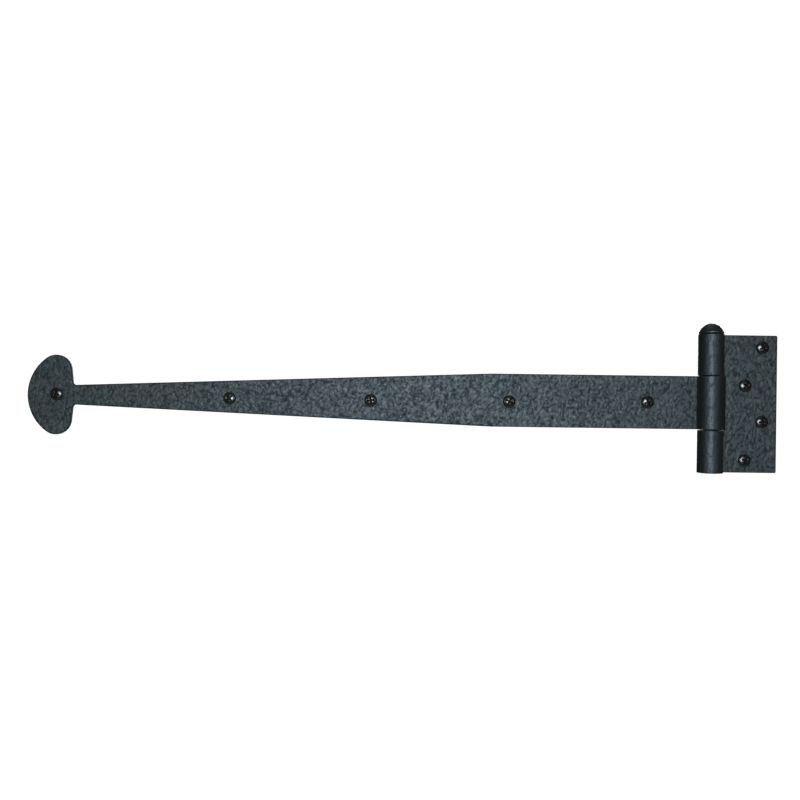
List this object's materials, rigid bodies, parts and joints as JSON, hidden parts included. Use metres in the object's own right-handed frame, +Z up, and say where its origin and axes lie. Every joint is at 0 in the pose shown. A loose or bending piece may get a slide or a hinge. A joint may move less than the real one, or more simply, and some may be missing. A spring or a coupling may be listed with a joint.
{
  "type": "door hinge",
  "caption": "Black rough-iron strap hinge: a long tapered strap with a bean-shaped end turns on a loose domed pin in a rolled barrel beside a rectangular butt leaf.",
  "frame": {"origin": "centre of the butt leaf's flat back, on the face that lies on the jamb", "axes": "+Z up along the hinge pin, +Y into the jamb and the door behind the leaves, -Y out of the hinge's front, +X from the barrel towards the butt leaf's outer edge; the strap runs to -X"},
  "size_m": [0.5537, 0.0459, 0.1095],
  "materials": {
    "rough_iron": "satin black powder coat over hammered rough iron",
    "pin_iron": "satin black powder coat over a smooth forged pin",
    "screw_black": "gloss black enamel over a steel wood screw"
  },
  "bodies": {
    "butt": {"butt_leaf": "rough_iron", "butt_screw_1": "screw_black", "butt_screw_2": "screw_black", "butt_screw_3": "screw_black", "butt_screw_4": "screw_black"},
    "strap": {"strap_leaf": "rough_iron", "strap_screw_1": "screw_black", "strap_screw_2": "screw_black", "strap_screw_3": "screw_black", "strap_screw_4": "screw_black", "strap_screw_5": "screw_black"},
    "pin": {"hinge_pin": "pin_iron"}
  },
  "joints": [
    {"name": "strap_swing", "type": "hinge", "parent": "butt", "child": "strap", "pos_m": [-0.0255, -0.00925, 0], "axis": [0, 0, 1], "range_deg": [-90, 180]},
    {"name": "pin_lift", "type": "slide", "parent": "butt", "child": "pin", "axis": [0, 0, 1], "range_m": [0, 0.1]}
  ]
}
